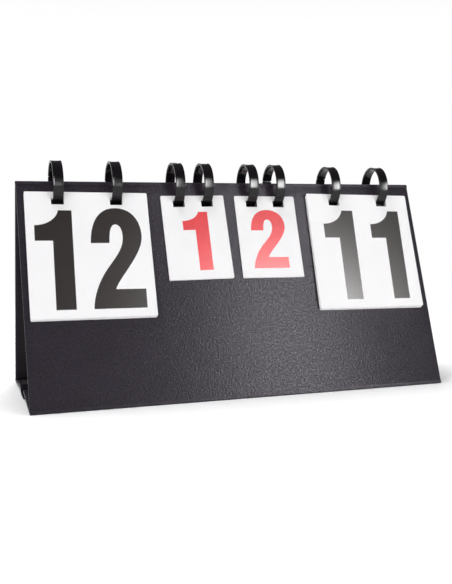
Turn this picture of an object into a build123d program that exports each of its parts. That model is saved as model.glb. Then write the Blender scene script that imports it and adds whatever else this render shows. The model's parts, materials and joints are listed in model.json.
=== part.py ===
from build123d import *
from dataclasses import dataclass
from math import atan2, cos, degrees, radians, sin, sqrt, tan
import os

# A tabletop flip scoreboard: a case-bound tent of two hinged boards over a
# folding base, with four packs of numbered cards hanging on eight split rings.
# Millimetres.  Origin: middle of the footprint on the table.  +Z up, -Y the
# front, +X the right-hand side seen from the front.

# ---- driving dimensions ---------------------------------------------------
BOARD_WIDTH = 400.0
BOARD_HEIGHT = 211.0        # along the slope, from the top fold to the foot
HALF_ANGLE = 21.1           # lean of each board from upright, tent open
FOLDED_HALF_ANGLE = 3.6     # lean of each board with the tent folded up
BOARD_THICKNESS = 3.0       # covered board, skin to skin
FOLD_OFFSET = 4.0           # outer face of a board to the top fold axis
SKIN = 0.4                  # cover and lining sheets
LINING_INSET = 4.0          # cover turned in round the edge of the lining
TOP_GAP = 0.5               # top fold axis to the end of a board
FOLD_ARCH = 0.8             # rise of the cloth over the top fold

BASE_THICKNESS = 2.6        # covered base board
BASE_LENGTH = 61.5          # foot axis to the free end of a base board
BASE_RISE = 6.5             # slope of the base boards, tent open
FOOT_GAP = 2.5              # foot axis to the near end of a base board
CREASE = 0.4                # foot axis to each lined face
FOOT_LIFT = 0.05            # near end of a base board above the table
FOLDED_PINCH = 0.3          # angle left between board and base, folded
PLEAT_BEND = 2.0            # radius of the bends of the hanging pleat

RING_OUTER = 21.0           # radius over the rims
RING_THICKNESS = 1.7        # between the rims
RING_RIM = 0.4              # height of the rims
RING_RIM_WIDTH = 1.1
RING_WIDTH = 9.4
RING_SPLIT = 3.0            # degrees of the split between the ring's ends
CATCH_HEIGHT = 1.1          # thumb catch over the split
CATCH_SPAN = 15.0           # degrees
CATCH_REACH = 5.0           # degrees of it on the end that carries it
CATCH_CLEARANCE = 0.15      # under the rest of it
CATCH_INSET = 0.9           # edge of the ring to the catch

BOARD_SLOT = (10.8, 6.2)    # width and height of the ring slots in a board
CARD_SLOT = (11.2, 6.0)     # and in a card
CARD_CORNER = 2.0
LEAF = 0.18                 # one card
AIR = 0.05                  # between leaves that lie on each other
BOARD_AIR = 0.1             # between a board and the first leaf
RING_PLAY = 0.15            # slot edge of a hanging card to its ring
FOLD_PLAY = 0.6             # the same on the board that folds

SCORE_CARD_HEIGHT = 119.0
SCORE_SLOT_MARGIN = 5.25    # top edge of a card to its slots
SET_CARD = (62.5, 83.7)     # width and height
SET_SLOT_MARGIN = 4.5
SCORE_RING_GAP = 53.4       # between the two rings of a pack
SET_RING_GAP = 28.0
SCORE_MARGIN = 6.8          # end of a board to the score card
SCORE_SPACING = 13.15       # between a score card and the set card beside it
SET_SPACING = 11.1          # between the two set cards
SET_PLACE = (SET_SPACING + SET_CARD[0]) / 2
# The score cards fill what the set cards leave of the board.
SCORE_CARD = (BOARD_WIDTH / 2 - SCORE_MARGIN - SCORE_SPACING - SET_CARD[0] - SET_SPACING / 2,
              SCORE_CARD_HEIGHT)
SCORE_PLACE = (BOARD_WIDTH - SCORE_CARD[0]) / 2 - SCORE_MARGIN


@dataclass
class Pack:
    """A pack of cards on two rings, part at the front and part flipped over."""
    name: str
    card: tuple             # width and height
    slot_margin: float      # top edge of a card to its slots
    place: float            # middle of the rings along X
    slide: float            # middle of the front cards from there
    ring_gap: float
    lift: float             # ring centre above the top fold axis
    front_leaves: tuple     # leaves in each bundle behind the front card
    front_skew: float       # degrees
    card_skew: float
    rear_leaves: tuple
    rear_skew: float
    splits: tuple           # each ring's split, degrees behind the ring's top


PACKS = (
    Pack("left_score", SCORE_CARD, SCORE_SLOT_MARGIN, -SCORE_PLACE, -0.6, SCORE_RING_GAP, 0.8,
         (9, 9), -0.5, -0.6, (12,), 0.3, (68.0, 82.0)),
    Pack("left_set", SET_CARD, SET_SLOT_MARGIN, -SET_PLACE, 0.0, SET_RING_GAP, 0.3,
         (6,), 0.7, 0.85, (1,), -0.4, (21.0, 25.0)),
    Pack("right_set", SET_CARD, SET_SLOT_MARGIN, SET_PLACE, 0.0, SET_RING_GAP, 0.2,
         (5,), -0.45, -0.55, (2,), 0.5, (95.0, 74.0)),
    Pack("right_score", SCORE_CARD, SCORE_SLOT_MARGIN, SCORE_PLACE, 0.0, SCORE_RING_GAP, -1.0,
         (10, 9), -0.8, -1.0, (11,), -0.4, (62.0, 88.0)),
)

# ---- what follows from them ----------------------------------------------
LEAN = radians(HALF_ANGLE)
RISE = radians(BASE_RISE)
INNER_FACE = FOLD_OFFSET - BOARD_THICKNESS
RING_INNER = RING_OUTER - RING_THICKNESS - RING_RIM
RING_MIDDLE = (RING_INNER + RING_OUTER) / 2
CATCH_OUTER = RING_OUTER + CATCH_CLEARANCE + CATCH_HEIGHT
FOLD_HEIGHT = BOARD_HEIGHT * cos(LEAN) - INNER_FACE * sin(LEAN)
FOOT_HEIGHT = (CREASE + BASE_THICKNESS) * cos(RISE) - FOOT_GAP * sin(RISE) + FOOT_LIFT
FOOT_OUT = INNER_FACE - CREASE
FOOT_DOWN = (FOLD_HEIGHT + FOOT_OUT * sin(LEAN) - FOOT_HEIGHT) / cos(LEAN)
FOOT_DEPTH = FOOT_OUT * cos(LEAN) + FOOT_DOWN * sin(LEAN)
# The rings and their catches pass the middle of the slots in the boards.
SLOT_DOWN = (sqrt(RING_INNER**2 - FOLD_OFFSET**2) + sqrt(CATCH_OUTER**2 - INNER_FACE**2)) / 2

# Each board is drawn flat in its own plane: X across, Y up the slope from the
# top fold axis, Z outwards.
FRONT = Plane(origin=(0, 0, FOLD_HEIGHT), x_dir=(1, 0, 0), z_dir=(0, -cos(LEAN), sin(LEAN)))
REAR = Plane(origin=(0, 0, FOLD_HEIGHT), x_dir=(-1, 0, 0), z_dir=(0, cos(LEAN), sin(LEAN)))
# Each base board: X across, Y from the foot axis to the free end, Z up.
FRONT_BASE = Plane(origin=(0, -FOOT_DEPTH, FOOT_HEIGHT), x_dir=(1, 0, 0),
                   z_dir=(0, -sin(RISE), cos(RISE)))
REAR_BASE = Plane(origin=(0, FOOT_DEPTH, FOOT_HEIGHT), x_dir=(-1, 0, 0),
                  z_dir=(0, sin(RISE), cos(RISE)))


def slab(x0, x1, y0, y1, z0, z1):
    """A box between two opposite corners."""
    return Pos((x0 + x1) / 2, (y0 + y1) / 2, (z0 + z1) / 2) * Box(x1 - x0, y1 - y0, z1 - z0)


def save(name, shape):
    """Write one sub-part."""
    shape.label = name
    export_step(shape, f"parts/{name}.step")


def ring_places(pack):
    return [pack.place + side * pack.ring_gap / 2 for side in (-1, 1)]


# ---- boards ---------------------------------------------------------------
def board_slots():
    """The slots that the rings pass through, as cutters."""
    cutter = Box(*BOARD_SLOT, 4 * BOARD_THICKNESS)
    return [Pos(x, -SLOT_DOWN, INNER_FACE) * cutter for pack in PACKS for x in ring_places(pack)]


def covered_board(width, top, bottom, inner, outer, cutters=()):
    """Core, cover and lining of a board wrapped in cover sheet.

    The cover lies on the outer face, goes round the four edges and is turned
    in over the inner face up to the lining, which lies flush with it.
    """
    half = width / 2
    block = slab(-half, half, bottom, top, inner, outer)
    core = slab(SKIN - half, half - SKIN, bottom + SKIN, top - SKIN, inner + SKIN, outer - SKIN)
    lining = slab(LINING_INSET - half, half - LINING_INSET, bottom + LINING_INSET,
                  top - LINING_INSET, inner, inner + SKIN)
    cover = block - core - lining
    for cutter in cutters:
        core -= cutter
        cover -= cutter
        lining -= cutter
    return {"core": core, "cover": cover, "lining": lining}


def tent_board():
    return covered_board(BOARD_WIDTH, -TOP_GAP, -BOARD_HEIGHT, INNER_FACE, FOLD_OFFSET,
                         board_slots())


def base_board():
    """A base board: its cover is underneath, so it is drawn face down."""
    pieces = covered_board(BOARD_WIDTH, BASE_LENGTH, FOOT_GAP, CREASE, CREASE + BASE_THICKNESS)
    return {kind: mirror(piece, Plane.XY) for kind, piece in pieces.items()}


# ---- cloth folds ----------------------------------------------------------
def cloth(points, radius):
    """A strip of cover cloth across the full width, along a bent section.

    points are (y, z) pairs in the object's frame, along the middle of the
    cloth's thickness.
    """
    band = trace(FilletPolyline(*points, radius=radius), SKIN)
    return Pos(-BOARD_WIDTH / 2, 0, 0) * (Plane.YZ * extrude(band, BOARD_WIDTH))


def top_fold():
    """The cover carried from one board over to the other, slightly arched."""
    half = FOLD_OFFSET * cos(LEAN)
    level = FOLD_HEIGHT + FOLD_OFFSET * sin(LEAN)
    return cloth([(-half, level), (0, level + FOLD_ARCH), (half, level)], half * 0.8)


def foot_fold(side):
    """The cover carried along the table, from a board's end to its base."""
    heel = INNER_FACE * cos(LEAN) + BOARD_HEIGHT * sin(LEAN) - SKIN
    near_end = FOOT_DEPTH - FOOT_GAP * cos(RISE) - (CREASE + BASE_THICKNESS) * sin(RISE)
    width = heel - near_end - AIR
    return Pos(0, side * (heel - width / 2), SKIN / 2) * Box(BOARD_WIDTH, width, SKIN)


def base_pleat():
    """The loose pleat of cloth that joins the free ends of the base boards."""
    under = (CREASE + BASE_THICKNESS) * sin(RISE)
    edge = FOOT_DEPTH - BASE_LENGTH * cos(RISE) - under - SKIN / 2 - AIR
    top = FOOT_HEIGHT + BASE_LENGTH * sin(RISE) - CREASE - SKIN
    floor = SKIN / 2 + AIR
    return cloth([(-edge, top), (-edge, floor), (edge, floor), (edge, top)], PLEAT_BEND)


# ---- rings ----------------------------------------------------------------
def ring_band():
    """The flat band of a ring, its edges swept up to rims, short of the split."""
    half = RING_WIDTH / 2
    lip = half - RING_RIM_WIDTH
    floor = RING_OUTER - RING_RIM
    points = [(-half, RING_INNER), (half, RING_INNER), (half, RING_OUTER), (lip, floor),
              (-lip, floor), (-half, RING_OUTER)]
    section = make_face(Polyline(*[(x, 0, z) for x, z in points], close=True))
    return revolve(section, Axis.X, 360 - RING_SPLIT)


def ring_catch():
    """The thumb catch, carried by one end of the band over the other."""
    half = RING_WIDTH / 2 - CATCH_INSET
    taper = CATCH_HEIGHT / 2
    floor = RING_OUTER + CATCH_CLEARANCE
    root = RING_OUTER - RING_RIM - CATCH_CLEARANCE
    pad = Polyline((-half, 0, floor), (half, 0, floor), (half - taper, 0, CATCH_OUTER),
                   (taper - half, 0, CATCH_OUTER), close=True)
    stem = Polyline((-half, 0, root), (half, 0, root), (half, 0, floor + CATCH_CLEARANCE),
                    (-half, 0, floor + CATCH_CLEARANCE), close=True)
    over_split = Rot(CATCH_REACH - CATCH_SPAN, 0, 0) * revolve(make_face(pad), Axis.X, CATCH_SPAN)
    return over_split + revolve(make_face(stem), Axis.X, CATCH_REACH)


def split_rings(pack):
    """The two rings of a pack."""
    # Drawn with the split just behind the top and the band running forwards.
    ring = ring_band() + ring_catch()
    height = FOLD_HEIGHT + pack.lift
    return [Pos(x, 0, height) * Rot(-split, 0, 0) * ring
            for x, split in zip(ring_places(pack), pack.splits)]


# ---- cards ----------------------------------------------------------------
def card_face(pack):
    """Outline of a card with its two slots, about the middle of the slots."""
    width, height = pack.card
    slot_height = CARD_SLOT[1]
    middle = pack.slot_margin + slot_height / 2 - height / 2
    face = Pos(0, middle) * RectangleRounded(width, height, CARD_CORNER)
    for side in (-1, 1):
        face -= Pos(side * pack.ring_gap / 2, 0) * Rectangle(*CARD_SLOT)
    return face


def ring_down(pack, radius, out):
    """How far down a board's plane a ring's radius lies, at a height above it."""
    off_centre = out - pack.lift * sin(LEAN)
    return sqrt(radius**2 - off_centre**2) - pack.lift * cos(LEAN)


def bundle(pack, leaves, inner, skew, play):
    """Leaves that hang by the top of their slots on the inside of the rings."""
    thickness = leaves * LEAF
    tilt = pack.ring_gap / 2 * tan(radians(abs(skew)))
    slot_top = ring_down(pack, RING_INNER, inner + thickness) - play - tilt
    sheet = extrude(card_face(pack), thickness)
    return Pos(0, -slot_top - CARD_SLOT[1] / 2, inner) * Rot(0, 0, skew) * sheet


def bundles(pack, counts, skew, play):
    """The bundles of one pack, and where the next leaf would lie."""
    inner = FOLD_OFFSET + BOARD_AIR
    shapes = []
    for index, leaves in enumerate(counts):
        fan = 1 - 0.6 * index / len(counts)
        shapes.append(bundle(pack, leaves, inner, skew * fan, play))
        inner += leaves * LEAF + AIR
    return shapes, inner


def hung(plane, middle, shapes):
    """Leaves placed on a board, as one shape."""
    placed = [plane * (Pos(middle, 0, 0) * shape) for shape in shapes]
    return placed[0] if len(placed) == 1 else Compound(children=placed)


def flip_of(pack, inner):
    """Where the front card swings on its rings, and its two turns in degrees.

    The rings carry the card's slots from the front of the top to the rear,
    and the card swings on the rings by the rest of its turn.
    """
    out = inner + LEAF / 2
    down = ring_down(pack, RING_MIDDLE, out)
    y = -out * cos(LEAN) - down * sin(LEAN)
    z = FOLD_HEIGHT + out * sin(LEAN) - down * cos(LEAN)
    carried = 2 * degrees(atan2(-y, z - FOLD_HEIGHT - pack.lift))
    return y, z, carried, 360 - 2 * HALF_ANGLE - carried


# ---- build ----------------------------------------------------------------
def build_boards():
    for name, plane in (("front", FRONT), ("rear", REAR)):
        for kind, piece in tent_board().items():
            save(f"{name}_board_{kind}", plane * piece)
    for name, plane in (("front", FRONT_BASE), ("rear", REAR_BASE)):
        for kind, piece in base_board().items():
            save(f"{name}_base_{kind}", plane * piece)


def build_cloth():
    save("top_fold_cloth", top_fold())
    save("front_foot_cloth", foot_fold(-1))
    save("rear_foot_cloth", foot_fold(1))
    save("base_pleat_cloth", base_pleat())


def build_pack(pack):
    front, inner = bundles(pack, pack.front_leaves, pack.front_skew, RING_PLAY)
    card = bundle(pack, 1, inner, pack.card_skew, RING_PLAY)
    rear, _ = bundles(pack, pack.rear_leaves, pack.rear_skew, FOLD_PLAY)
    save(f"{pack.name}_rings", Compound(children=split_rings(pack)))
    save(f"{pack.name}_front_pack", hung(FRONT, pack.place + pack.slide, front))
    save(f"{pack.name}_card", hung(FRONT, pack.place + pack.slide, [card]))
    save(f"{pack.name}_rear_pack", hung(REAR, -pack.place, rear))
    y, z, carried, swing = flip_of(pack, inner)
    print(f"{pack.name}: ring centre x {pack.place:.3f} z {FOLD_HEIGHT + pack.lift:.4f}, "
          f"swing axis y {y:.4f} z {z:.4f}, rings turn {carried:.3f}, card swings {swing:.3f}")


def print_joints():
    fold = 2 * (HALF_ANGLE - FOLDED_HALF_ANGLE)
    base = 90 - HALF_ANGLE - BASE_RISE - FOLDED_PINCH
    print(f"fold axis z {FOLD_HEIGHT:.4f}, foot axes y +-{FOOT_DEPTH:.4f} z {FOOT_HEIGHT:.4f}")
    print(f"tent folds {fold:.3f}, base boards fold {base:.3f}")


os.makedirs("parts", exist_ok=True)
build_boards()
build_cloth()
for each in PACKS:
    build_pack(each)
print_joints()
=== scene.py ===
"""Tabletop flip scoreboard: cloth-bound folding tent, split rings, printed cards.

Laid out as an add-on: settings, one operator for each group of pieces, and a
panel that lists them.  Every piece is modelled in metres, in place, on the
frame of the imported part.
"""

import json
import math
import random
from typing import NamedTuple

import bmesh
import bpy
from mathutils import Matrix, Vector


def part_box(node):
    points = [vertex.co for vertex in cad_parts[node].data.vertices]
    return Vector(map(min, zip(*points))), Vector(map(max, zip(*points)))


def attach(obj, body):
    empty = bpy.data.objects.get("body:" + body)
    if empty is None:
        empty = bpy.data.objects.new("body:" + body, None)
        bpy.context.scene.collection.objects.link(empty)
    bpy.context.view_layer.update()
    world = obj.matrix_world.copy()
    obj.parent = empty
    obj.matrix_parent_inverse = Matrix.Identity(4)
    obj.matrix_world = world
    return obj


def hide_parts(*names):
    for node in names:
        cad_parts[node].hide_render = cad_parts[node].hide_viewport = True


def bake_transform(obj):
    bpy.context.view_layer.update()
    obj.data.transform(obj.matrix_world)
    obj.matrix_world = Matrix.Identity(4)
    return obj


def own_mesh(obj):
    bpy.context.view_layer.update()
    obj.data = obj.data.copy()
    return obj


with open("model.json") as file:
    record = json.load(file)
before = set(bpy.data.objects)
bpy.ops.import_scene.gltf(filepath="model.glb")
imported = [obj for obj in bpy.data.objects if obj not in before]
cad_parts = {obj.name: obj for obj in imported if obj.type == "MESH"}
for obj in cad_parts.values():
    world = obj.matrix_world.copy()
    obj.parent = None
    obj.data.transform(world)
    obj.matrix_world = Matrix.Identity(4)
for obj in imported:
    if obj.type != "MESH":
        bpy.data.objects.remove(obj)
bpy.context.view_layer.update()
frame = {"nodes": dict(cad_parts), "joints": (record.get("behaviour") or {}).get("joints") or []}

bl_info = {
    "name": "Flip Scoreboard",
    "version": (1, 0, 0),
    "blender": (4, 5, 0),
    "location": "View3D > Sidebar > Scoreboard",
    "description": "Builds a tabletop flip scoreboard around its packed frame",
    "category": "Object",
}

MM = 0.001
PIVOTS = {joint["name"]: Vector(joint["pos_m"]) for joint in frame["joints"]}
FOLD_AXIS = PIVOTS["tent_fold"]
FOOT_AXIS = PIVOTS["front_base_fold"]
FRONT, REAR = -1, 1         # side of the fold, as the sign of Y there
SIDES = ((FRONT, "front"), (REAR, "rear"))
TOUCHING = 0.001 * MM       # points nearer than this are one point


# ---- settings --------------------------------------------------------------
class BoardSettings(bpy.types.PropertyGroup):
    """Covered boards and the cloth folds between them."""
    width: bpy.props.FloatProperty(
        name="Width", description="Length of a board along the folds",
        default=0.4, unit="LENGTH")
    lean: bpy.props.FloatProperty(
        name="Lean", description="Lean of each board from upright",
        default=math.radians(21.1), subtype="ANGLE")
    base_rise: bpy.props.FloatProperty(
        name="Base rise", description="Slope of the base boards",
        default=math.radians(6.5), subtype="ANGLE")
    outer: bpy.props.FloatProperty(
        name="Outer face", description="Top fold axis to the outer face of a board",
        default=4.0 * MM, unit="LENGTH")
    edge_round: bpy.props.FloatProperty(
        name="Edge radius", description="Rounding of the cover over a board's edge",
        default=0.7 * MM, unit="LENGTH")
    cloth: bpy.props.FloatProperty(
        name="Cover thickness", description="Thickness of the cover sheet",
        default=0.4 * MM, unit="LENGTH")
    cover_colour: bpy.props.StringProperty(
        name="Cover colour", description="sRGB hex colour of the cover",
        default="27222A")
    lining_colour: bpy.props.StringProperty(
        name="Lining colour", description="sRGB hex colour of the lining",
        default="2B2729")


class RingSettings(bpy.types.PropertyGroup):
    """Moulded split rings."""
    outer: bpy.props.FloatProperty(
        name="Outer radius", description="Radius over the rims",
        default=21.0 * MM, unit="LENGTH")
    inner: bpy.props.FloatProperty(
        name="Inner radius", description="Radius of the bore",
        default=18.9 * MM, unit="LENGTH")
    rim: bpy.props.FloatProperty(
        name="Rim height", description="Height of the rims over the band",
        default=0.25 * MM, unit="LENGTH")
    dish: bpy.props.FloatProperty(
        name="Dish", description="Depth of the band's middle below its edges",
        default=0.2 * MM, unit="LENGTH")
    rim_width: bpy.props.FloatProperty(
        name="Rim width", description="Width of each rim",
        default=1.1 * MM, unit="LENGTH")
    width: bpy.props.FloatProperty(
        name="Width", description="Width of the band", default=9.4 * MM, unit="LENGTH")
    colour: bpy.props.StringProperty(
        name="Colour", description="sRGB hex colour of the plastic", default="110E11")


class CardSettings(bpy.types.PropertyGroup):
    """Number cards that hang on the rings."""
    score_size: bpy.props.FloatVectorProperty(
        name="Score card", description="Width and height of a score card",
        size=2, default=(112.0 * MM, 119.0 * MM), unit="LENGTH")
    set_size: bpy.props.FloatVectorProperty(
        name="Set card", description="Width and height of a set card",
        size=2, default=(62.5 * MM, 83.7 * MM), unit="LENGTH")
    slot: bpy.props.FloatVectorProperty(
        name="Slot", description="Width and height of a ring slot",
        size=2, default=(11.6 * MM, 6.9 * MM), unit="LENGTH")
    score_margin: bpy.props.FloatProperty(
        name="Score slot margin", description="Top edge of a score card to its slots",
        default=5.25 * MM, unit="LENGTH")
    set_margin: bpy.props.FloatProperty(
        name="Set slot margin", description="Top edge of a set card to its slots",
        default=4.5 * MM, unit="LENGTH")
    corner: bpy.props.FloatProperty(
        name="Corner radius", description="Rounding of a card's corners",
        default=1.2 * MM, unit="LENGTH")
    leaf: bpy.props.FloatProperty(
        name="Leaf pitch", description="Thickness of one card with its share of air",
        default=0.18 * MM, unit="LENGTH")
    fan: bpy.props.FloatProperty(
        name="Bow", description="How far the foot of the outermost card stands off",
        default=0.4 * MM, unit="LENGTH")
    card_colour: bpy.props.StringProperty(
        name="Card colour", description="sRGB hex colour of the card", default="F4F3F4")
    score_ink: bpy.props.StringProperty(
        name="Score ink", description="sRGB hex colour of the score numerals",
        default="2B2624")
    set_ink: bpy.props.StringProperty(
        name="Set ink", description="sRGB hex colour of the set numerals",
        default="DF3138")


class StageSettings(bpy.types.PropertyGroup):
    """Camera, floor and lamps."""
    floor_colour: bpy.props.StringProperty(
        name="Floor colour", description="sRGB hex colour of the floor",
        default="ECECED")
    key_power: bpy.props.FloatProperty(
        name="Key softbox", description="Power of the large softbox at the right",
        default=6.9, unit="POWER")
    fill_power: bpy.props.FloatProperty(
        name="Fill softbox", description="Power of the softbox at the left",
        default=6.0, unit="POWER")
    gloss_power: bpy.props.FloatProperty(
        name="Gloss strip", description="Power of the tall strip that only gloss shows",
        default=17.0, unit="POWER")
    top_power: bpy.props.FloatProperty(
        name="Top softbox", description="Power of the softbox overhead and behind",
        default=36.0, unit="POWER")
    floor_glow: bpy.props.FloatProperty(
        name="Floor glow",
        description="How far the floor near the board is lifted to white", default=0.03)
    ceiling: bpy.props.FloatProperty(
        name="Ceiling", description="Brightness of the ceiling against white walls",
        default=0.1)


SETTINGS = {
    "scoreboard_boards": BoardSettings,
    "scoreboard_rings": RingSettings,
    "scoreboard_cards": CardSettings,
    "scoreboard_stage": StageSettings,
}


def settings(name):
    """One group of the scene's settings."""
    return getattr(bpy.context.scene, "scoreboard_" + name)


# ---- places ----------------------------------------------------------------
def board_place(side):
    """A board's own frame: X across, Y up the slope from the fold, Z outwards."""
    lean = settings("boards").lean
    place = Matrix((
        (-side, 0, 0),
        (0, -side * math.sin(lean), side * math.cos(lean)),
        (0, math.cos(lean), math.sin(lean)),
    )).to_4x4()
    place.translation = FOLD_AXIS
    return place


def base_place(side):
    """A base board's own frame: X across, Y towards its free end, Z up."""
    rise = settings("boards").base_rise
    place = Matrix((
        (-side, 0, 0),
        (0, -side * math.cos(rise), side * math.sin(rise)),
        (0, math.sin(rise), math.cos(rise)),
    )).to_4x4()
    place.translation = Vector((0, side * abs(FOOT_AXIS.y), FOOT_AXIS.z))
    return place


# ---- materials -------------------------------------------------------------
def linear(code):
    """An sRGB hex colour as linear RGBA."""
    parts = [int(code[i:i + 2], 16) / 255 for i in (0, 2, 4)]
    return tuple(c / 12.92 if c <= 0.04045 else ((c + 0.055) / 1.055) ** 2.4
                 for c in parts) + (1.0,)


def add(tree, kind, inputs=(), **options):
    """Add a node with its options, and its inputs as values or as links."""
    node = tree.nodes.new("ShaderNode" + kind)
    for name, value in options.items():
        setattr(node, name, value)
    for key, value in dict(inputs).items():
        if isinstance(value, bpy.types.NodeSocket):
            tree.links.new(value, node.inputs[key])
        else:
            node.inputs[key].default_value = value
    return node


def new_material(name):
    """A material with its tree, its shader and no other node."""
    material = bpy.data.materials.new(name)
    material.use_nodes = True
    tree = material.node_tree
    tree.nodes.clear()
    shader = add(tree, "BsdfPrincipled")
    add(tree, "OutputMaterial", {"Surface": shader.outputs[0]})
    return material, tree, shader


def book_cloth():
    """Black bookcloth, starch-filled and calendered to a fine linen grain.

    Threads 0.5 mm apart in both directions, drawn 0.9 mm apart so that they
    show.  The filled threads lie flat, so the sheen is narrow across the board
    and long down it; nubs in the weave fleck it, and the filling is cloudy.
    """
    material, tree, shader = new_material("calendered_linen_bookcloth")
    uv = add(tree, "UVMap", uv_map="grain").outputs[0]
    across = add(tree, "Mapping", {"Vector": uv, "Scale": (260, 1150, 1)})
    along = add(tree, "Mapping", {"Vector": uv, "Scale": (1150, 260, 1)})
    warp = add(tree, "TexNoise", {"Vector": across.outputs[0], "Scale": 1.0,
                                  "Detail": 1.0})
    weft = add(tree, "TexNoise", {"Vector": along.outputs[0], "Scale": 1.0,
                                  "Detail": 1.0})
    grain = add(tree, "Math", {0: warp.outputs[0], 1: weft.outputs[0]},
                operation="ADD")
    nubs = add(tree, "TexNoise", {"Vector": uv, "Scale": 520.0, "Detail": 2.0,
                                  "Roughness": 0.6})
    cloud = add(tree, "TexNoise", {"Vector": uv, "Scale": 35.0, "Detail": 3.0})
    weave = add(tree, "MapRange", {"Value": grain.outputs[0], "From Min": 0.7,
                                   "From Max": 1.3, "To Min": 0.86, "To Max": 1.14})
    fleck = add(tree, "MapRange", {"Value": nubs.outputs[0], "From Min": 0.3,
                                   "From Max": 0.7, "To Min": 0.66, "To Max": 1.34})
    haze = add(tree, "MapRange", {"Value": cloud.outputs[0], "From Min": 0.3,
                                  "From Max": 0.7, "To Min": 0.95, "To Max": 1.12})
    tone = add(tree, "Math", {0: weave.outputs[0], 1: fleck.outputs[0]},
               operation="MULTIPLY")
    tone = add(tree, "Math", {0: tone.outputs[0], 1: haze.outputs[0]},
               operation="MULTIPLY")
    colour = add(tree, "VectorMath", {0: linear(settings("boards").cover_colour)[:3],
                                      "Scale": tone.outputs[0]}, operation="SCALE")
    tree.links.new(colour.outputs[0], shader.inputs["Base Color"])
    rough = add(tree, "MapRange", {"Value": nubs.outputs[0], "From Min": 0.4,
                                   "From Max": 0.6, "To Min": 0.32, "To Max": 0.54})
    tree.links.new(rough.outputs[0], shader.inputs["Roughness"])
    shader.inputs["Specular IOR Level"].default_value = 0.2
    shader.inputs["Anisotropic"].default_value = 0.9
    shader.inputs["Anisotropic Rotation"].default_value = 0.25
    thread = add(tree, "Tangent", direction_type="UV_MAP", uv_map="grain")
    tree.links.new(thread.outputs[0], shader.inputs["Tangent"])
    relief = add(tree, "Math", {0: nubs.outputs[0], 1: 2.0, 2: grain.outputs[0]},
                 operation="MULTIPLY_ADD")
    bump = add(tree, "Bump", {"Height": relief.outputs[0], "Strength": 0.8,
                              "Distance": 0.16 * MM})
    tree.links.new(bump.outputs[0], shader.inputs["Normal"])
    return material


def lining_paper():
    """Uncoated black lining paper: matt, with short fibres on the surface."""
    material, tree, shader = new_material("uncoated_black_lining_paper")
    place = add(tree, "TexCoord").outputs["Object"]
    fibre = add(tree, "TexNoise", {"Vector": place, "Scale": 700.0, "Detail": 5.0,
                                   "Roughness": 0.7})
    cloud = add(tree, "TexNoise", {"Vector": place, "Scale": 28.0, "Detail": 2.0})
    dark = linear(settings("boards").lining_colour)
    mix = add(tree, "Mix", {0: cloud.outputs[0], 6: tuple(0.85 * c for c in dark),
                            7: tuple(min(1.2 * c, 1) for c in dark)}, data_type="RGBA")
    tree.links.new(mix.outputs[2], shader.inputs["Base Color"])
    shader.inputs["Roughness"].default_value = 0.88
    shader.inputs["Specular IOR Level"].default_value = 0.3
    bump = add(tree, "Bump", {"Height": fibre.outputs[0], "Strength": 0.4,
                              "Distance": 0.05 * MM})
    tree.links.new(bump.outputs[0], shader.inputs["Normal"])
    return material


def greyboard():
    """Greyboard of recycled pulp: flecked, and seen only where slots are cut."""
    material, tree, shader = new_material("recycled_pulp_greyboard")
    place = add(tree, "TexCoord").outputs["Object"]
    flecks = add(tree, "TexNoise", {"Vector": place, "Scale": 1400.0, "Detail": 4.0})
    tone = add(tree, "MapRange", {"Value": flecks.outputs[0], "From Min": 0.35,
                                  "From Max": 0.65})
    mix = add(tree, "Mix", {0: tone.outputs[0], 6: linear("7C766D"),
                            7: linear("A29B90")}, data_type="RGBA")
    tree.links.new(mix.outputs[2], shader.inputs["Base Color"])
    shader.inputs["Roughness"].default_value = 0.95
    bump = add(tree, "Bump", {"Height": flecks.outputs[0], "Strength": 0.6,
                              "Distance": 0.1 * MM})
    tree.links.new(bump.outputs[0], shader.inputs["Normal"])
    return material


def ring_plastic():
    """Injection-moulded ABS, polished tool: glossy black with rubbed patches.

    Handling leaves fine scratches round the band and a duller film that
    spreads the highlights.
    """
    material, tree, shader = new_material("polished_moulded_abs")
    place = add(tree, "TexCoord").outputs["Object"]
    rubbed = add(tree, "TexNoise", {"Vector": place, "Scale": 160.0, "Detail": 3.0})
    drawn = add(tree, "Mapping", {"Vector": place, "Scale": (3200, 260, 260)})
    scratches = add(tree, "TexNoise", {"Vector": drawn.outputs[0], "Scale": 1.0,
                                       "Detail": 3.0})
    rough = add(tree, "MapRange", {"Value": rubbed.outputs[0], "From Min": 0.3,
                                   "From Max": 0.7, "To Min": 0.12, "To Max": 0.2})
    tree.links.new(rough.outputs[0], shader.inputs["Roughness"])
    shader.inputs["Base Color"].default_value = linear(settings("rings").colour)
    shader.inputs["IOR"].default_value = 1.54
    shader.inputs["Specular IOR Level"].default_value = 0.3
    bump = add(tree, "Bump", {"Height": scratches.outputs[0], "Strength": 0.12,
                              "Distance": 0.03 * MM})
    tree.links.new(bump.outputs[0], shader.inputs["Normal"])
    return material


def card_stock():
    """White polypropylene-coated card: even, faintly mottled, satin."""
    material, tree, shader = new_material("coated_white_card")
    place = add(tree, "TexCoord").outputs["Object"]
    cloud = add(tree, "TexNoise", {"Vector": place, "Scale": 60.0, "Detail": 4.0})
    white = linear(settings("cards").card_colour)
    mix = add(tree, "Mix", {0: cloud.outputs[0], 6: tuple(0.975 * c for c in white),
                            7: white}, data_type="RGBA")
    tree.links.new(mix.outputs[2], shader.inputs["Base Color"])
    shader.inputs["Roughness"].default_value = 0.6
    shader.inputs["Specular IOR Level"].default_value = 0.12
    fine = add(tree, "TexNoise", {"Vector": place, "Scale": 900.0, "Detail": 2.0})
    bump = add(tree, "Bump", {"Height": fine.outputs[0], "Strength": 0.08,
                              "Distance": 0.02 * MM})
    tree.links.new(bump.outputs[0], shader.inputs["Normal"])
    return material


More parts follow.
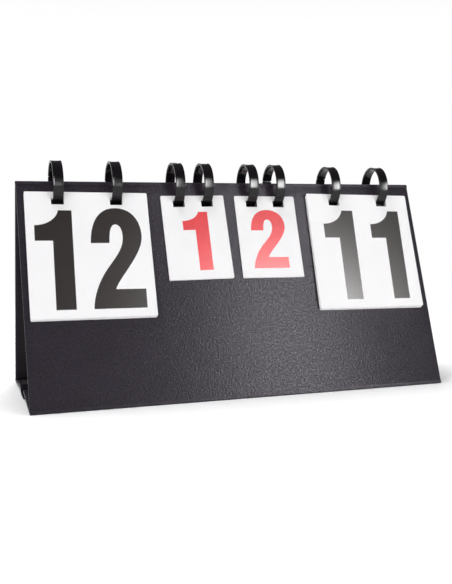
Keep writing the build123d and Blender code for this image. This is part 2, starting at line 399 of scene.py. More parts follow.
def ink(name, code):
    """Screen-printed ink: a glossy film, slightly uneven where the mesh laid it."""
    material, tree, shader = new_material(name)
    place = add(tree, "TexCoord").outputs["Object"]
    cloud = add(tree, "TexNoise", {"Vector": place, "Scale": 120.0, "Detail": 4.0})
    full = linear(code)
    mix = add(tree, "Mix", {0: cloud.outputs[0], 6: tuple(0.92 * c for c in full),
                            7: tuple(min(1.06 * c, 1) for c in full)}, data_type="RGBA")
    tree.links.new(mix.outputs[2], shader.inputs["Base Color"])
    shader.inputs["Roughness"].default_value = 0.24
    shader.inputs["Specular IOR Level"].default_value = 0.75
    return material


MAKERS = {
    "cover": book_cloth,
    "lining": lining_paper,
    "core": greyboard,
    "ring": ring_plastic,
    "card": card_stock,
    "score_ink": lambda: ink("screen_ink_black", settings("cards").score_ink),
    "set_ink": lambda: ink("screen_ink_red", settings("cards").set_ink),
}
MADE = {}


def finish_of(kind):
    """The material of a kind, made once."""
    if kind not in MADE:
        MADE[kind] = MAKERS[kind]()
    return MADE[kind]


# ---- mesh helpers ----------------------------------------------------------
def make_piece(name, bm, kind, body, smooth=None):
    """Turn a bmesh into a piece with its material, on its body if it is given one.

    Where it is smooth, edges up to that many degrees are shaded as one surface.
    """
    mesh = bpy.data.meshes.new(name)
    bm.to_mesh(mesh)
    bm.free()
    mesh.materials.append(finish_of(kind))
    if smooth is not None:
        mesh.shade_smooth()
        mesh.set_sharp_from_angle(angle=math.radians(smooth))
    piece = bpy.data.objects.new(name, mesh)
    bpy.context.scene.collection.objects.link(piece)
    if body:
        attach(piece, body)
    return piece


def verts_of(geom):
    """The vertices in what an operator returns."""
    return [g for g in geom if isinstance(g, bmesh.types.BMVert)]


def cut(bm, spot, normal):
    """Cut a shape's faces along a plane and keep both sides."""
    bmesh.ops.bisect_plane(bm, geom=bm.verts[:] + bm.edges[:] + bm.faces[:],
                           plane_co=spot, plane_no=normal)


def thicken(bm, thickness):
    """Make a flat shape a plate, upwards."""
    made = bmesh.ops.extrude_face_region(bm, geom=bm.faces[:])["geom"]
    bmesh.ops.translate(bm, verts=verts_of(made), vec=(0, 0, thickness))
    bmesh.ops.recalc_face_normals(bm, faces=bm.faces)


def grain_map(bm, place):
    """Lay the cover's grain in the plane of a place, round its edges too."""
    layer = bm.loops.layers.uv.new("grain")
    back = place.inverted()
    for face in bm.faces:
        for loop in face.loops:
            spot = back @ loop.vert.co
            loop[layer].uv = (spot.x, spot.y + spot.z)


def merged_copy(node):
    """A CAD node's mesh with its doubles merged and its flat faces joined."""
    bm = bmesh.new()
    bm.from_mesh(frame["nodes"][node].data)
    bmesh.ops.remove_doubles(bm, verts=bm.verts, dist=TOUCHING)
    bmesh.ops.dissolve_limit(bm, angle_limit=math.radians(0.5), verts=bm.verts,
                             edges=bm.edges)
    return bm


def strip(section, width, thickness):
    """A strip of cloth: a section of (y, z) points carried across the width.

    A positive thickness grows downwards from the section, a negative one upwards.
    """
    bm = bmesh.new()
    verts = [bm.verts.new((-width / 2, y, z)) for y, z in section]
    edges = [bm.edges.new(pair) for pair in zip(verts, verts[1:])]
    made = bmesh.ops.extrude_edge_only(bm, edges=edges)["geom"]
    bmesh.ops.translate(bm, verts=verts_of(made), vec=(width, 0, 0))
    grain_map(bm, Matrix())
    bmesh.ops.recalc_face_normals(bm, faces=bm.faces)
    if sum(f.normal.z * f.calc_area() for f in bm.faces) < 0:
        bmesh.ops.reverse_faces(bm, faces=bm.faces)
    bmesh.ops.solidify(bm, geom=bm.faces[:], thickness=thickness)
    bmesh.ops.recalc_face_normals(bm, faces=bm.faces)
    return bm


def rounded(points, radii, segments=6):
    """A polyline with its inner corners rounded, worked by the bevel operator."""
    bm = bmesh.new()
    verts = [bm.verts.new((0, y, z)) for y, z in points]
    for pair in zip(verts, verts[1:]):
        bm.edges.new(pair)
    for vert, radius in zip(verts[1:-1], radii):
        bmesh.ops.bevel(bm, geom=[vert], offset=radius, segments=segments, profile=0.5,
                        affect="VERTICES", material=-1)
    bm.verts.ensure_lookup_table()
    start = Vector((0, *points[0]))
    at = next(v for v in bm.verts if (v.co - start).length < TOUCHING)
    line, came = [at], None
    while True:
        onward = [e for e in at.link_edges if e is not came]
        if not onward:
            break
        came = onward[0]
        at = came.other_vert(at)
        line.append(at)
    section = [(v.co.y, v.co.z) for v in line]
    bm.free()
    return section


# ---- boards ----------------------------------------------------------------
FLUSH = 0.01 * MM           # a point this near to a face of a board lies in it
SHORTEST_RIM = 2 * MM       # shorter edges are left sharp


def cover_piece(node, body, place):
    """The cover of one board, its outer edges rounded over the greyboard."""
    board = settings("boards")
    bm = merged_copy(node)
    back = place.inverted()
    spots = {v: back @ v.co for v in bm.verts}
    lows = [min(spot[i] for spot in spots.values()) for i in range(3)]
    highs = [max(spot[i] for spot in spots.values()) for i in range(3)]

    def planes(vert):
        """The outer faces of the board that a vertex lies in."""
        spot = spots[vert]
        return {(i, side) for i in range(3)
                for side, limit in ((0, lows[i]), (1, highs[i]))
                if abs(spot[i] - limit) < FLUSH}

    rims = [e for e in bm.edges
            if len(planes(e.verts[0]) & planes(e.verts[1])) >= 2
            and (e.verts[0].co - e.verts[1].co).length > SHORTEST_RIM]
    bmesh.ops.bevel(bm, geom=rims, offset=board.edge_round, segments=4, profile=0.5,
                    affect="EDGES", material=-1)
    grain_map(bm, place)
    piece = make_piece(node.replace("_cover", "_wrap"), bm, "cover", body,
                       smooth=30)
    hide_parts(node)


class SCOREBOARD_OT_boards(bpy.types.Operator):
    """Wrap the two tent boards and the two base boards"""
    bl_idname = "scoreboard.boards"
    bl_label = "Covered Boards"

    def execute(self, context):
        for side, name in SIDES:
            cover_piece(name + "_board_cover", name + "_board", board_place(side))
            cover_piece(name + "_base_cover", name + "_base", base_place(side))
            for part in ("_board", "_base"):
                for kind in ("lining", "core"):
                    mesh = frame["nodes"][name + part + "_" + kind].data
                    mesh.materials.clear()
                    mesh.materials.append(finish_of(kind))
        return {"FINISHED"}


SKIN = 0.04 * MM            # a strip glued on the cover stands this far off it


def point_on(place, y, z):
    """A point of a board's own plane as (y, z) in the part's frame."""
    spot = place @ Vector((0, y, z))
    return spot.y, spot.z


class SCOREBOARD_OT_folds(bpy.types.Operator):
    """Cloth folds: over the top, along both feet, and the loose base pleat"""
    bl_idname = "scoreboard.folds"
    bl_label = "Cloth Folds"

    def execute(self, context):
        board = settings("boards")
        self.top_fold(board)
        for side, name in SIDES:
            self.foot_turn(board, side, name)
            self.foot_fold(board, side, name)
            self.pleat_half(board, side, name)
        return {"FINISHED"}

    def top_fold(self, board):
        """The cover goes over both board ends with a slight arch between."""
        lap, rise, crown = 2.2 * MM, 0.35 * MM, 2.35 * MM
        edge_radius, crown_radius = 0.9 * MM, 2.2 * MM
        front, rear = board_place(FRONT), board_place(REAR)
        out = board.outer + SKIN
        points = [point_on(front, -lap, out), point_on(front, rise, out),
                  (0, FOLD_AXIS.z + crown),
                  point_on(rear, rise, out), point_on(rear, -lap, out)]
        section = rounded(points, (edge_radius, crown_radius, edge_radius), 5)
        bm = strip(section, board.width, -board.cloth)
        piece = make_piece("top_fold_wrap", bm, "cover", None, smooth=40)
        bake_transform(piece)
        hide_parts("top_fold_cloth")

    def foot_turn(self, board, side, name):
        """The cover turned under a board's end, down to the table."""
        lap, turn, radius = 3.6 * MM, 2.6 * MM, 1.9 * MM
        table, inset = 0.03 * MM, 0.1 * MM
        place, out = board_place(side), board.outer + SKIN
        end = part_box(name + "_board_cover")[0 if side == FRONT else 1].y
        height = FOLD_AXIS.z + out * math.sin(board.lean) - table
        reach = height / math.cos(board.lean)
        points = [point_on(place, lap - reach, out), point_on(place, -reach, out),
                  (end - side * turn, table)]
        bm = strip(rounded(points, (radius,)), board.width - inset, -board.cloth)
        make_piece(name + "_foot_turn", bm, "cover", name + "_board",
                   smooth=60)

    def foot_fold(self, board, side, name):
        """The cover along the table, from a board's end to its base."""
        lap, arch, radius, inset = 0.1 * MM, 0.1 * MM, 1.0 * MM, 0.4 * MM
        low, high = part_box(name + "_foot_cloth")
        heel, toe = (low.y, high.y) if side == FRONT else (high.y, low.y)
        level = high.z
        points = [(heel + side * lap, level), (0.5 * (heel + toe), level + arch),
                  (toe - side * lap, level)]
        bm = strip(rounded(points, (radius,), 4), board.width - inset, board.cloth)
        piece = make_piece(name + "_foot_wrap", bm, "cover", None,
                           smooth=40)
        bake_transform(piece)
        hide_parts(name + "_foot_cloth")

    def pleat_half(self, board, side, name):
        """Half of the pleat that joins the free ends of the base boards."""
        sag, radius, lift, inset = 0.2 * MM, 2.2 * MM, 0.15 * MM, 0.4 * MM
        low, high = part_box("base_pleat_cloth")
        edge = high.y - board.cloth / 2
        floor = low.z + board.cloth / 2
        points = [(side * edge, high.z), (side * edge, floor + sag), (0.0, floor)]
        thickness = 0.9 * board.cloth   # pressed thin where it is folded
        bm = strip(rounded(points, (radius,)), board.width - inset, thickness)
        bmesh.ops.translate(bm, verts=bm.verts, vec=(0, 0, lift))
        piece = make_piece(name + "_pleat_wrap", bm, "cover", name + "_base",
                           smooth=40)
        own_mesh(piece)
        if side == FRONT:
            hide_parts("base_pleat_cloth")


# ---- rings -----------------------------------------------------------------
RING_GAPS = {"score": 53.4 * MM, "set": 28.0 * MM}  # between the rings of a pack
# Where the left and the right ring of a pack are split, in degrees from the top
# towards the rear.
SPLITS = {
    "left_score": (68, 82), "left_set": (21, 25), "right_set": (95, 74),
    "right_score": (62, 88),
}
SPLIT_GAP = 3.0             # degrees
CATCH_SPAN = 15.0           # degrees, the whole catch
CATCH_REACH = 5.0           # degrees, the part on the end that carries it
CATCH_LIFT, CATCH_HEIGHT, CATCH_INSET = 0.15 * MM, 1.1 * MM, 0.9 * MM
LARGE_RADIUS = 1 * MM       # corners from here on are rounded in more steps


def spun_section(points, rounding, start, sweep, steps):
    """A closed (x, radius) section, its corners rounded, spun about X in degrees."""
    bm = bmesh.new()
    verts = [bm.verts.new((x, 0, r)) for x, r in points]
    bm.faces.new(verts)
    for vert, radius in zip(verts, rounding):
        if radius:
            bmesh.ops.bevel(bm, geom=[vert], offset=radius,
                            segments=3 if radius < LARGE_RADIUS else 8, profile=0.5,
                            affect="VERTICES", material=-1)
    bmesh.ops.rotate(bm, verts=bm.verts, cent=(0, 0, 0),
                     matrix=Matrix.Rotation(math.radians(start), 3, "X"))
    bmesh.ops.spin(bm, geom=bm.faces[:] + bm.edges[:] + bm.verts[:], cent=(0, 0, 0),
                   axis=(1, 0, 0), angle=math.radians(sweep), steps=steps)
    bmesh.ops.recalc_face_normals(bm, faces=bm.faces)
    return bm


def joined(shapes):
    """Several closed shapes as one bmesh."""
    bm = bmesh.new()
    for shape in shapes:
        mesh = bpy.data.meshes.new("shape")
        shape.to_mesh(mesh)
        shape.free()
        bm.from_mesh(mesh)
        bpy.data.meshes.remove(mesh)
    return bm


def ring_band(split):
    """The dished band with raised rims, from one side of its split to the other."""
    ring = settings("rings")
    half, floor = ring.width / 2, ring.outer - ring.rim
    lip, crest = half - ring.rim_width, half - 0.45 * ring.rim_width
    points = [(-half, ring.inner), (half, ring.inner), (half, ring.outer),
              (crest, ring.outer), (lip, floor), (0, floor - ring.dish),
              (-lip, floor), (-crest, ring.outer), (-half, ring.outer)]
    # Radii of those corners: bore, rim, foot of the rim, dish, and back.
    rounding = [r * MM for r in (0.7, 0.7, 0.3, 0.15, 0.3, 3.0, 0.3, 0.15, 0.3)]
    return spun_section(points, rounding, -split, 360 - SPLIT_GAP, steps=120)


def ring_catch(split):
    """The thumb catch that one end of the band carries over the other."""
    ring = settings("rings")
    half = ring.width / 2 - CATCH_INSET
    floor = ring.outer + CATCH_LIFT
    top = floor + CATCH_HEIGHT
    root = ring.outer - ring.rim - CATCH_LIFT
    taper = CATCH_HEIGHT / 2
    pad = [(-half, floor), (half, floor), (half - taper, top), (taper - half, top)]
    stem = [(-half, root), (half, root), (half, floor + CATCH_LIFT),
            (-half, floor + CATCH_LIFT)]
    rounding = [r * MM for r in (0.1, 0.1, 0.3, 0.3)]
    start = CATCH_REACH - CATCH_SPAN - split
    return [spun_section(pad, rounding, start, CATCH_SPAN, steps=10),
            spun_section(stem, (0, 0, 0, 0), -split, CATCH_REACH, steps=4)]


class SCOREBOARD_OT_rings(bpy.types.Operator):
    """Split rings, two to a pack"""
    bl_idname = "scoreboard.rings"
    bl_label = "Split Rings"

    def execute(self, context):
        for name in PACKS:
            centre = PIVOTS[name + "_ring_turn"]
            gap = RING_GAPS[name.split("_")[1]]
            for side, word, split in zip((-1, 1), ("left", "right"), SPLITS[name]):
                bm = joined([ring_band(split), *ring_catch(split)])
                bmesh.ops.translate(bm, verts=bm.verts,
                                    vec=centre + Vector((side * gap / 2, 0, 0)))
                piece = make_piece(f"{name}_{word}_ring", bm, "ring", name + "_rings",
                                   smooth=35)
                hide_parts(name + "_rings")
        return {"FINISHED"}


# ---- numerals --------------------------------------------------------------
# Outlines of the bold condensed numerals, in millimetres at the score cards'
# size, from the left of the numeral and up from its foot.  Each point is its
# place, and the handles before and after it where the outline is curved.
GLYPHS = {
    "1": (
        ((-0.7, 79.1), (11.5, 79.1), None), ((-0.7, 64.4), None, None),
        ((15.2, 64.4), None, None), ((15.2, 0), None, None), ((32.8, 0), None, None),
        ((32.8, 93.4), None, None), ((20.7, 93.4), None, (19.6, 86.5)),
    ),
    "2": (
        ((0, 62), None, (0.8, 84)), ((24, 96), (9.5, 96), (38.5, 96)),
        ((47.2, 69), (47.2, 85), (47.2, 58)),
        ((33.3, 38.4), (39.0, 46.6), (28.7, 31.8)), ((20.4, 18), (21.8, 23), None),
        ((47.8, 18), None, None), ((47.8, 0), None, None),
        ((-0.3, 0), None, (0.7, 16)), ((13.2, 36.5), (8.1, 29.1), (19.5, 45.6)),
        ((29.5, 68.5), (29.8, 55.5), (29.5, 75.5)), ((23.4, 80), (27, 80), (19, 80)),
        ((17, 62), (17.6, 74), None),
    ),
    "3": (
        ((0.5, 67), None, (0.8, 86)), ((23.5, 96), (9, 96), (37.5, 96)),
        ((45.8, 71.5), (45.8, 86.5), (45.8, 61.5)),
        ((34.5, 50.3), (42, 53), (43, 47.5)),
        ((47.4, 26.5), (47.4, 38), (47.4, 9)), ((23.5, -2), (39, -2), (8, -2)),
        ((-0.5, 29), (-0.5, 8), None), ((17, 29), None, (17.2, 18)),
        ((23.8, 14), (19.5, 14), (27.5, 14)), ((29.3, 26), (29.3, 18), (29.3, 37)),
        ((18.5, 42), (26, 42), None), ((18.5, 57), None, (25, 57)),
        ((28.6, 69.5), (28.6, 61.5), (28.6, 77)),
        ((23.2, 80.5), (27, 80.5), (19, 80.5)),
        ((17, 67), (17, 76), None),
    ),
}
# Millimetres before each numeral, and from its place to that of the next.
ADVANCE = {"1": (6.0, 52.0), "2": (2.5, 52.0), "3": (2.8, 52.0)}
INK = 0.02 * MM             # thickness of the ink
SLANT = 0.011               # how far the numerals lean over
MIDDLE = 47                 # height that they lean about, in their own millimetres
SET_SCALE = (0.755, 0.626)  # width and height of set numerals to score numerals
SCORE_FOOT, SET_FOOT = 9.7 * MM, 8.9 * MM   # foot of a card to its numerals


def numeral_curve(text, scale):
    """A number as a filled flat curve, centred on X, standing on its foot."""
    curve = bpy.data.curves.new("numeral_outline", "CURVE")
    curve.dimensions = "2D"
    curve.fill_mode = "BOTH"
    pen, spots = 0.0, []
    for digit in text:
        bearing, advance = ADVANCE[digit]
        spots.append((digit, pen + bearing))
        pen += advance
    left = spots[0][1]
    right = spots[-1][1] + max(p[0][0] for p in GLYPHS[text[-1]])
    for digit, place in spots:
        outline = GLYPHS[digit]
        spline = curve.splines.new("BEZIER")
        spline.bezier_points.add(len(outline) - 1)
        spline.use_cyclic_u = True
        spline.resolution_u = 10
        shift = place - (left + right) / 2

        def at(point):
            across = point[0] + shift + SLANT * (point[1] - MIDDLE)
            return Vector((across * scale[0], point[1] * scale[1], 0)) * MM

        for knot, (spot, before, after) in zip(spline.bezier_points, outline):
            knot.handle_left_type = knot.handle_right_type = "FREE"
            knot.co = at(spot)
            knot.handle_left = at(before or spot)
            knot.handle_right = at(after or spot)
    return curve


def numeral_bmesh(text, scale):
    """The inked shape of a number, cut into rows so that it can bow."""
    curve = numeral_curve(text, scale)
    holder = bpy.data.objects.new("numeral_outline", curve)
    flat = bpy.data.meshes.new_from_object(holder)
    bm = bmesh.new()
    bm.from_mesh(flat)
    bpy.data.objects.remove(holder)
    bpy.data.curves.remove(curve)
    bpy.data.meshes.remove(flat)
    bmesh.ops.remove_doubles(bm, verts=bm.verts, dist=TOUCHING)
    for index in range(1, NUMERAL_ROWS):
        cut(bm, (0, index * ROW, 0), (0, 1, 0))
    bmesh.ops.recalc_face_normals(bm, faces=bm.faces)
    if sum(f.normal.z for f in bm.faces) < 0:
        bmesh.ops.reverse_faces(bm, faces=bm.faces)
    thicken(bm, INK)
    return bm


# ---- cards -----------------------------------------------------------------
class PackPlan(NamedTuple):
    """How one pack hangs, in millimetres and degrees."""
    slide: float            # along its rings
    leaves: int             # behind the front card
    skew: float             # of the innermost of them
    card_skew: float        # of the front card
    flipped: int            # leaves flipped over to the rear board
    flipped_skew: float     # of the innermost of them
    shows: str              # number on the front card
    follows: str            # number on its back and on the card behind it
    print_shift: tuple      # of the numbers off their usual place


PACKS = {
    "left_score": PackPlan(-0.6, 18, -0.5, -0.6, 12, 0.3, "12", "13", (0.0, -2.0)),
    "left_set": PackPlan(0.0, 6, 0.7, 0.85, 1, -0.4, "1", "2", (0.0, -0.3)),
    "right_set": PackPlan(0.0, 5, -0.45, -0.55, 2, 0.5, "2", "3", (0.0, 0.3)),
    "right_score": PackPlan(0.0, 19, -0.8, -1.0, 11, -0.4, "11", "12", (1.5, -1.65)),
}
BOARD_AIR, AIR = 0.1 * MM, 0.05 * MM        # board to pack, and bundle to bundle
RING_PLAY, FOLD_PLAY = 0.15 * MM, 0.6 * MM  # slot to ring, in front and flipped
SHEET = 0.15 * MM           # thickness of one card
ROW = 12 * MM               # a card and its numbers are cut this often, to bow
NUMERAL_ROWS = 8
TOP_SKEW = 0.5              # skew of a stack's outermost leaf to its innermost
FRONT_BOW, REAR_BOW = 0.85, 0.5             # bow of that leaf to the front card's
STRAY_TURN = 0.12           # degrees that a leaf may lie out of line, either way
STRAY_DROP = 0.25 * MM      # and how much lower it may hang


class Pack:
    """Sizes and places of one pack, from the settings and the frame."""

    def __init__(self, name):
        cards = settings("cards")
        self.name = name
        self.kind = name.split("_")[1]
        self.width, self.height = getattr(cards, self.kind + "_size")
        self.gap = RING_GAPS[self.kind]
        centre = PIVOTS[name + "_ring_turn"]
        self.middle = centre.x
        self.lift = centre.z - FOLD_AXIS.z
        self.plan = PACKS[name]
        slot_middle = getattr(cards, self.kind + "_margin") + cards.slot[1] / 2
        self.top, self.foot = slot_middle, slot_middle - self.height
        self.scale = (1, 1) if self.kind == "score" else SET_SCALE
        margin = SCORE_FOOT if self.kind == "score" else SET_FOOT
        across, up = self.plan.print_shift
        self.print_place = Vector((across * MM, self.foot + margin + up * MM, 0))
        self.ink = self.kind + "_ink"

    def slot_top(self, out, skew, play):
        """How far down the board's plane a leaf's slots begin, at a height."""
        lean = settings("boards").lean
        off = out - self.lift * math.sin(lean)
        down = math.sqrt(settings("rings").inner ** 2 - off ** 2)
        tilt = self.gap / 2 * math.tan(math.radians(abs(skew)))
        return down - self.lift * math.cos(lean) - play - tilt


def leaf_bmesh(pack):
    """One card: rounded corners, two ring slots, cut into rows so it can bow."""
    cards = settings("cards")
    bm = bmesh.new()
    bmesh.ops.create_grid(bm, x_segments=1, y_segments=1, size=0.5)
    bmesh.ops.scale(bm, verts=bm.verts, vec=(pack.width, pack.height, 1))
    bmesh.ops.translate(bm, verts=bm.verts, vec=(0, (pack.top + pack.foot) / 2, 0))
    half = Vector(cards.slot) / 2
    columns = [s * pack.gap / 2 + t * half.x for s in (-1, 1) for t in (-1, 1)]
    rows = [-half.y, half.y]
    rows += [-half.y - ROW * i for i in range(1, int((-half.y - pack.foot) / ROW) + 1)]
    for x in columns:
        cut(bm, (x, 0, 0), (1, 0, 0))
    for y in rows:
        cut(bm, (0, y, 0), (0, 1, 0))
    holes = [f for f in bm.faces
             if abs(f.calc_center_median().y) < half.y
             and abs(abs(f.calc_center_median().x) - pack.gap / 2) < half.x]
    bmesh.ops.delete(bm, geom=holes, context="FACES")
    corners = [v for v in bm.verts
               if abs(abs(v.co.x) - pack.width / 2) < TOUCHING
               and min(abs(v.co.y - pack.top), abs(v.co.y - pack.foot)) < TOUCHING]
    bmesh.ops.bevel(bm, geom=corners, offset=cards.corner, segments=4, profile=0.5,
                    affect="VERTICES", material=-1)
    thicken(bm, SHEET)
    return bm


def hang(bm, pack, side, out, skew, play, bow, verts=None):
    """Bow a leaf, turn it by its skew and hang it on a board at a height."""
    verts = verts or bm.verts
    span = -pack.foot
    for vert in verts:
        drop = max(-vert.co.y, 0) / span
        vert.co.z += bow * drop * drop
    down = pack.slot_top(out + SHEET, skew, play) + settings("cards").slot[1] / 2
    across = pack.middle + pack.plan.slide * MM if side == FRONT else -pack.middle
    place = (board_place(side) @ Matrix.Translation((across, -down, out))
             @ Matrix.Rotation(math.radians(skew), 4, "Z"))
    bmesh.ops.transform(bm, verts=list(verts), matrix=place)


def leaf_stack(pack, side, count, first, skew, play, seed, bow):
    """A stack of leaves on a board, each a little out of line with the next.

    The first lies flat; the last has the whole bow.
    """
    cards = settings("cards")
    chance = random.Random(seed)
    leaf = leaf_bmesh(pack)
    mesh = bpy.data.meshes.new("leaf")
    leaf.to_mesh(mesh)
    leaf.free()
    bm = bmesh.new()
    for index in range(count):
        before = len(bm.verts)
        bm.from_mesh(mesh)
        bm.verts.ensure_lookup_table()
        share = index / max(count - 1, 1)
        turn = skew * (1 - (1 - TOP_SKEW) * share)
        turn += chance.uniform(-STRAY_TURN, STRAY_TURN)
        drop = chance.uniform(0.0, STRAY_DROP)
        hang(bm, pack, side, first + index * cards.leaf, turn, play + drop,
             bow * share, bm.verts[before:])
    bpy.data.meshes.remove(mesh)
    return bm


def print_number(pack, name, text, side, out, skew, play, bow, body, back=False):
    """A number on a hanging leaf: on its outer face, or on its back."""
    bm = numeral_bmesh(text, pack.scale)
    lift = 0.0 if back else SHEET
    if back:
        bmesh.ops.rotate(bm, verts=bm.verts, cent=(0, 0, 0),
                         matrix=Matrix.Rotation(math.pi, 3, "Y"))
    bmesh.ops.translate(bm, verts=bm.verts, vec=pack.print_place + Vector((0, 0, lift)))
    hang(bm, pack, side, out, skew, play, bow)
    make_piece(name, bm, pack.ink, body)


class SCOREBOARD_OT_cards(bpy.types.Operator):
    """Number cards: packs at the front, front cards and flipped packs"""
    bl_idname = "scoreboard.cards"
    bl_label = "Number Cards"

    def execute(self, context):
        for seed, name in enumerate(PACKS):
            pack = Pack(name)
            self.hang_front(pack, seed)
            self.hang_flipped(pack, seed + 10)
        return {"FINISHED"}

    def hang_front(self, pack, seed):
        """The leaves at the front, the front card and the numbers on them."""
        cards, plan, name = settings("cards"), pack.plan, pack.name
        first = settings("boards").outer + BOARD_AIR
        stack = leaf_stack(pack, FRONT, plan.leaves, first, plan.skew, RING_PLAY, seed,
                           FRONT_BOW * cards.fan)
        piece = make_piece(name + "_front_leaves", stack, "card", "front_board",
                           smooth=30)
        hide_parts(name + "_front_pack")
        bundles = 2 if pack.kind == "score" else 1
        out = first + plan.leaves * cards.leaf + bundles * AIR
        card = leaf_bmesh(pack)
        hang(card, pack, FRONT, out, plan.card_skew, RING_PLAY, cards.fan)
        piece = make_piece(name + "_front_leaf", card, "card", name + "_card",
                           smooth=30)
        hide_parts(name + "_card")
        print_number(pack, name + "_number", plan.shows, FRONT, out, plan.card_skew,
                     RING_PLAY, cards.fan, name + "_card")
        print_number(pack, name + "_number_behind", plan.follows, FRONT, out,
                     plan.card_skew, RING_PLAY, cards.fan, name + "_card", back=True)
        last = first + (plan.leaves - 1) * cards.leaf
        print_number(pack, name + "_next_number", plan.follows, FRONT, last,
                     TOP_SKEW * plan.skew, RING_PLAY, FRONT_BOW * cards.fan,
                     "front_board")

    def hang_flipped(self, pack, seed):
        """The leaves flipped over to the rear board and the number on the last."""
        cards, plan, name = settings("cards"), pack.plan, pack.name
        first = settings("boards").outer + BOARD_AIR
        stack = leaf_stack(pack, REAR, plan.flipped, first, plan.flipped_skew,
                           FOLD_PLAY, seed, REAR_BOW * cards.fan)
        piece = make_piece(name + "_flipped_leaves", stack, "card", "rear_board",
                           smooth=30)
        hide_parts(name + "_rear_pack")
        last = first + (plan.flipped - 1) * cards.leaf
        # A leaf on its own is both the innermost and the outermost, and lies flat.
        skew, bow = (TOP_SKEW, REAR_BOW) if plan.flipped > 1 else (1.0, 0.0)
        print_number(pack, name + "_rear_number", plan.shows, REAR, last,
                     skew * plan.flipped_skew, FOLD_PLAY, bow * cards.fan, "rear_board")


# ---- stage -----------------------------------------------------------------
def floor_material():
    """White seamless paper: it keeps the shadow and runs out into plain white."""
    material, tree, shader = new_material("seamless_backdrop_paper")
    shader.inputs["Base Color"].default_value = linear(settings("stage").floor_colour)
    shader.inputs["Roughness"].default_value = 0.9
    shader.inputs["Specular IOR Level"].default_value = 0.1
    rays = add(tree, "LightPath")
    seen = add(tree, "Math", {0: rays.outputs["Is Camera Ray"],
                              1: rays.outputs["Is Glossy Ray"]}, operation="MAXIMUM")
    seen = add(tree, "Math", {0: seen.outputs[0],
                              1: rays.outputs["Is Transmission Ray"]},
               operation="MAXIMUM")
    glow = add(tree, "Math", {0: seen.outputs[0], 1: settings("stage").floor_glow},
               operation="MULTIPLY")
    shader.inputs["Emission Color"].default_value = (1, 1, 1, 1)
    tree.links.new(glow.outputs[0], shader.inputs["Emission Strength"])
    spot = add(tree, "TexCoord").outputs["Object"]
    away = add(tree, "VectorMath", {0: spot}, operation="LENGTH")
    far = add(tree, "MapRange", {"Value": away.outputs["Value"], "From Min": 0.35,
                                 "From Max": 1.1}, interpolation_type="SMOOTHSTEP")
    share = add(tree, "Math", {0: far.outputs[0], 1: seen.outputs[0]},
                operation="MULTIPLY")
    white = add(tree, "Emission", {"Strength": 1.0})
    mix = add(tree, "MixShader", {0: share.outputs[0], 1: shader.outputs[0],
                                  2: white.outputs[0]})
    output = next(n for n in tree.nodes if n.type == "OUTPUT_MATERIAL")
    tree.links.new(mix.outputs[0], output.inputs["Surface"])
    return material


def softbox(name, place, aim, size, power, seen_by="diffuse"):
    """A softbox that faces a point; it lights matt surfaces or shows in gloss."""
    lamp = bpy.data.lights.new(name, "AREA")
    lamp.shape = "RECTANGLE"
    lamp.size, lamp.size_y = size
    lamp.energy = power
    holder = bpy.data.objects.new(name, lamp)
    holder.location = place
    way = Vector(aim) - Vector(place)
    holder.rotation_euler = way.to_track_quat("-Z", "Y").to_euler()
    holder.visible_camera = False
    holder.visible_diffuse = seen_by == "diffuse"
    holder.visible_glossy = seen_by == "gloss"
    bpy.context.scene.collection.objects.link(holder)
    return lamp


def feather(lamp):
    """Let a lamp fade out at its foot, and from its middle to the other edges."""
    lamp.use_nodes = True
    tree = lamp.node_tree
    tree.nodes.clear()
    spot = add(tree, "SeparateXYZ", {0: add(tree, "NewGeometry").outputs["Parametric"]})
    across = add(tree, "Math", {0: spot.outputs[0], 1: 2.0, 2: -1.0},
                 operation="MULTIPLY_ADD")
    off = add(tree, "Math", {0: across.outputs[0]}, operation="ABSOLUTE")
    bell = add(tree, "MapRange", {"Value": off.outputs[0], "From Min": 1.0,
                                  "From Max": 0.0, "To Min": 0.0, "To Max": 2.0},
               interpolation_type="SMOOTHSTEP")
    foot = add(tree, "MapRange", {"Value": spot.outputs[1], "From Min": 0.0,
                                  "From Max": 0.2}, interpolation_type="SMOOTHSTEP")
    head = add(tree, "MapRange", {"Value": spot.outputs[1], "From Min": 1.0,
                                  "From Max": 0.4}, interpolation_type="SMOOTHSTEP")
    upright = add(tree, "Math", {0: foot.outputs[0], 1: head.outputs[0]},
                  operation="MULTIPLY")
    strength = add(tree, "Math", {0: bell.outputs[0], 1: upright.outputs[0]},
                   operation="MULTIPLY")
    light = add(tree, "Emission", {"Strength": strength.outputs[0]})
    add(tree, "OutputLight", {"Surface": light.outputs[0]})


SIDE_SHARE = 0.035          # power of the low gloss strip to that of the tall one
FLOOR_DROP = 0.02 * MM      # floor below the table plane, clear of the feet


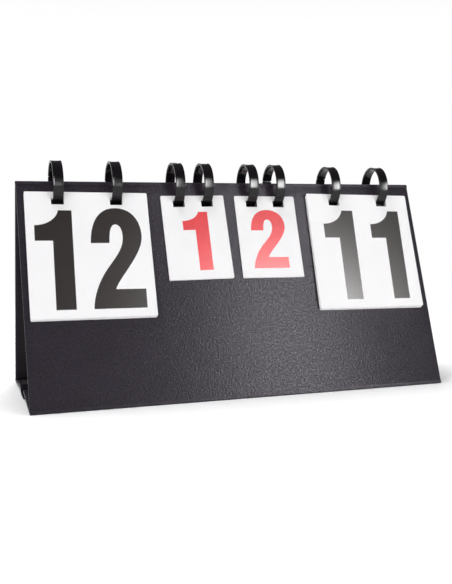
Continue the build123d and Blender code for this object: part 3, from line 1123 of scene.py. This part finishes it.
class SCOREBOARD_OT_stage(bpy.types.Operator):
    """Camera, pale floor, studio walls, three softboxes and two gloss strips"""
    bl_idname = "scoreboard.stage"
    bl_label = "Stage"

    def execute(self, context):
        scene = context.scene
        scene.view_settings.view_transform = "Standard"
        self.camera(scene)
        self.floor(scene)
        self.lamps(settings("stage"))
        self.walls(scene, settings("stage"))
        return {"FINISHED"}

    def camera(self, scene):
        """A normal lens, from the left and a little below the top fold's height."""
        camera = bpy.data.cameras.new("camera")
        camera.lens = 52.93
        camera.sensor_width = 36.0
        camera.shift_x, camera.shift_y = -0.0497, 0.0248
        camera.clip_start, camera.clip_end = 0.01, 50.0
        holder = bpy.data.objects.new("camera", camera)
        holder.location = (-0.26216, -0.81218, 0.17073)
        holder.rotation_euler = [math.radians(a) for a in (83.7157, 0.1076, -19.8415)]
        scene.collection.objects.link(holder)
        scene.camera = holder

    def floor(self, scene):
        """A sheet of backdrop paper, far wider than the view."""
        bm = bmesh.new()
        bmesh.ops.create_grid(bm, x_segments=1, y_segments=1, size=6.0)
        bmesh.ops.translate(bm, verts=bm.verts, vec=(0, 0, -FLOOR_DROP))
        mesh = bpy.data.meshes.new("floor")
        bm.to_mesh(mesh)
        bm.free()
        mesh.materials.append(floor_material())
        floor = bpy.data.objects.new("floor", mesh)
        scene.collection.objects.link(floor)

    def lamps(self, stage):
        """Softboxes for the matt surfaces, and strips close by for the glossy ones."""
        middle = (0, 0, 0.12)
        softbox("key_softbox", (0.9, -1.4, 0.8), middle, (1.2, 1.0), stage.key_power)
        softbox("fill_softbox", (-1.2, -1.2, 1.0), middle, (1.2, 1.0),
                stage.fill_power)
        softbox("top_softbox", (-0.2, 0.45, 1.5), (0, 0.1, 0), (1.4, 1.2),
                stage.top_power)
        feather(softbox("gloss_strip", (0.315, -0.62, 0.36), (0.315, 0.0, 0.36),
                        (0.49, 0.68), stage.gloss_power, "gloss"))
        feather(softbox("gloss_side", (-0.06, -0.62, 0.17), (-0.06, 0.0, 0.17),
                        (0.40, 0.28), SIDE_SHARE * stage.gloss_power, "gloss"))

    def walls(self, scene, stage):
        """White walls all round, darker towards the ceiling, as the world."""
        world = bpy.data.worlds.new("studio_walls")
        scene.world = world
        world.use_nodes = True
        tree = world.node_tree
        tree.nodes.clear()
        way = add(tree, "TexCoord").outputs["Generated"]
        split = add(tree, "SeparateXYZ", {0: way})
        tone = add(tree, "MapRange", {"Value": split.outputs["Z"], "From Min": 0.2,
                                      "From Max": 0.5, "To Min": 1.0,
                                      "To Max": stage.ceiling},
                   interpolation_type="SMOOTHSTEP")
        light = add(tree, "Background", {"Color": (1, 1, 1, 1),
                                         "Strength": tone.outputs[0]})
        add(tree, "OutputWorld", {"Surface": light.outputs[0]})


# ---- panel and registration ------------------------------------------------
STEPS = ("boards", "folds", "rings", "cards", "stage")


class SCOREBOARD_PT_build(bpy.types.Panel):
    """Lists the steps that build the scoreboard"""
    bl_idname = "SCOREBOARD_PT_build"
    bl_label = "Flip Scoreboard"
    bl_space_type = "VIEW_3D"
    bl_region_type = "UI"
    bl_category = "Scoreboard"

    def draw(self, context):
        for step in STEPS:
            self.layout.operator("scoreboard." + step)


CLASSES = (
    *SETTINGS.values(), SCOREBOARD_OT_boards, SCOREBOARD_OT_folds, SCOREBOARD_OT_rings,
    SCOREBOARD_OT_cards, SCOREBOARD_OT_stage, SCOREBOARD_PT_build,
)


def register():
    for each in CLASSES:
        bpy.utils.register_class(each)
    for name, group in SETTINGS.items():
        setattr(bpy.types.Scene, name, bpy.props.PointerProperty(type=group))


def unregister():
    for name in SETTINGS:
        delattr(bpy.types.Scene, name)
    for each in reversed(CLASSES):
        bpy.utils.unregister_class(each)


def main():
    register()
    for step in STEPS:
        getattr(bpy.ops.scoreboard, step)()


if __name__ == "__main__":
    main()
